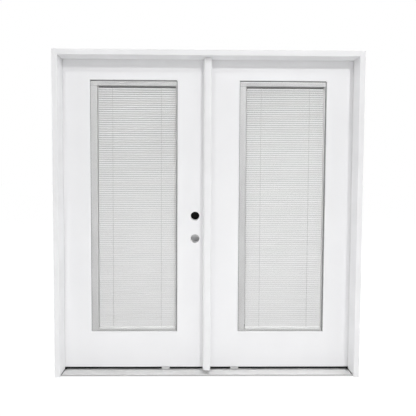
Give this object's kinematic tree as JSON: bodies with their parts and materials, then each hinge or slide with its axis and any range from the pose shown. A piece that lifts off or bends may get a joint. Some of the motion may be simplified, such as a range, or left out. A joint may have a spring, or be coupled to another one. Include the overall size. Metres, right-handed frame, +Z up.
{
  "type": "double entry door",
  "caption": "Pre-hung double entry door: white leaves with enclosed mini-blinds behind glass swing inward on butt hinges in a rabbeted frame with a low sill and an astragal at the meeting edge.",
  "frame": {"origin": "middle of the frame's underside: centre of its width and of the jamb depth, at the floor", "axes": "+X to the right seen from outside, +Y from outdoors into the room, +Z up"},
  "size_m": [1.829, 0.1294, 1.943],
  "materials": {
    "frame_paint": "white painted composite, satin",
    "leaf_skin": "smooth white fibreglass, satin",
    "sill_aluminium": "mill finish with lengthwise grooves",
    "base_composite": "grey composite",
    "seal_foam": "light grey vinyl-covered foam",
    "black_rubber": "black rubber",
    "pane_glass": "clear float glass",
    "spacer_metal": "grey spacer bar",
    "blind_rail_paint": "light grey paint",
    "slat_paint": "white paint",
    "white_plastic": "white moulded plastic",
    "grey_plastic": "grey moulded plastic",
    "black_plastic": "black moulded plastic",
    "steel": "zinc plated, brushed"
  },
  "bodies": {
    "frame": {"left_jamb": "frame_paint", "right_jamb": "frame_paint", "head_jamb": "frame_paint", "head_strike": "steel", "sill": "sill_aluminium", "sill_base": "base_composite", "left_jamb_seal": "seal_foam", "right_jamb_seal": "seal_foam", "head_seal": "seal_foam", "left_sill_clip": "grey_plastic", "right_sill_clip": "grey_plastic", "left_jamb_hinge_leaves": "steel", "right_jamb_hinge_leaves": "steel", "left_hinge_pins": "steel", "right_hinge_pins": "steel"},
    "left_door": {"left_slab": "leaf_skin", "left_sweep": "black_rubber", "left_door_hinge_leaves": "steel", "deadbolt_cover": "black_plastic", "latch_cover": "grey_plastic", "left_outer_glass": "pane_glass", "left_inner_glass": "pane_glass", "left_spacer": "spacer_metal", "left_glazing_bead": "white_plastic", "left_headrail": "blind_rail_paint", "left_side_channel": "blind_rail_paint", "left_slats": "slat_paint", "left_operator_track": "white_plastic"},
    "right_door": {"right_slab": "leaf_skin", "right_sweep": "black_rubber", "right_door_hinge_leaves": "steel", "astragal": "frame_paint", "astragal_seal": "seal_foam", "astragal_boot": "black_rubber", "lock_strikes": "steel", "right_outer_glass": "pane_glass", "right_inner_glass": "pane_glass", "right_spacer": "spacer_metal", "right_glazing_bead": "white_plastic", "right_headrail": "blind_rail_paint", "right_side_channel": "blind_rail_paint", "right_slats": "slat_paint", "right_operator_track": "white_plastic"},
    "left_blind_rail": {"left_bottom_rail": "blind_rail_paint"},
    "left_blind_slider": {"left_lift_slider": "white_plastic", "left_lift_shuttle": "grey_plastic"},
    "right_blind_rail": {"right_bottom_rail": "blind_rail_paint"},
    "right_blind_slider": {"right_lift_slider": "white_plastic", "right_lift_shuttle": "grey_plastic"},
    "top_bolt": {"top_bolt": "steel"},
    "bottom_bolt": {"bottom_bolt": "steel"}
  },
  "joints": [
    {"name": "left_door_swing", "type": "hinge", "parent": "frame", "child": "left_door", "pos_m": [-0.89395, 0.06495, 0.97], "axis": [0, 0, 1], "range_deg": [0, 110]},
    {"name": "right_door_swing", "type": "hinge", "parent": "frame", "child": "right_door", "pos_m": [0.89395, 0.06495, 0.97], "axis": [0, 0, -1], "range_deg": [0, 99]},
    {"name": "left_blind_lift", "type": "slide", "parent": "left_door", "child": "left_blind_rail", "axis": [0, 0, 1], "range_m": [0, 1.39], "deforming": ["left_slats"]},
    {"name": "left_slider_travel", "type": "slide", "parent": "left_door", "child": "left_blind_slider", "axis": [0, 0, -1], "range_m": [0, 1.39]},
    {"name": "right_blind_lift", "type": "slide", "parent": "right_door", "child": "right_blind_rail", "axis": [0, 0, 1], "range_m": [0, 1.39], "deforming": ["right_slats"]},
    {"name": "right_slider_travel", "type": "slide", "parent": "right_door", "child": "right_blind_slider", "axis": [0, 0, -1], "range_m": [0, 1.39]},
    {"name": "top_bolt_throw", "type": "slide", "parent": "right_door", "child": "top_bolt", "axis": [0, 0, 1], "range_m": [0, 0.018]},
    {"name": "bottom_bolt_throw", "type": "slide", "parent": "right_door", "child": "bottom_bolt", "axis": [0, 0, -1], "range_m": [0, 0.018]}
  ],
  "couplings": [
    {"joint": "right_door_swing", "follows": "left_door_swing", "ratio": 0.9},
    {"joint": "left_slider_travel", "follows": "left_blind_lift", "ratio": 1},
    {"joint": "right_slider_travel", "follows": "right_blind_lift", "ratio": 1}
  ]
}
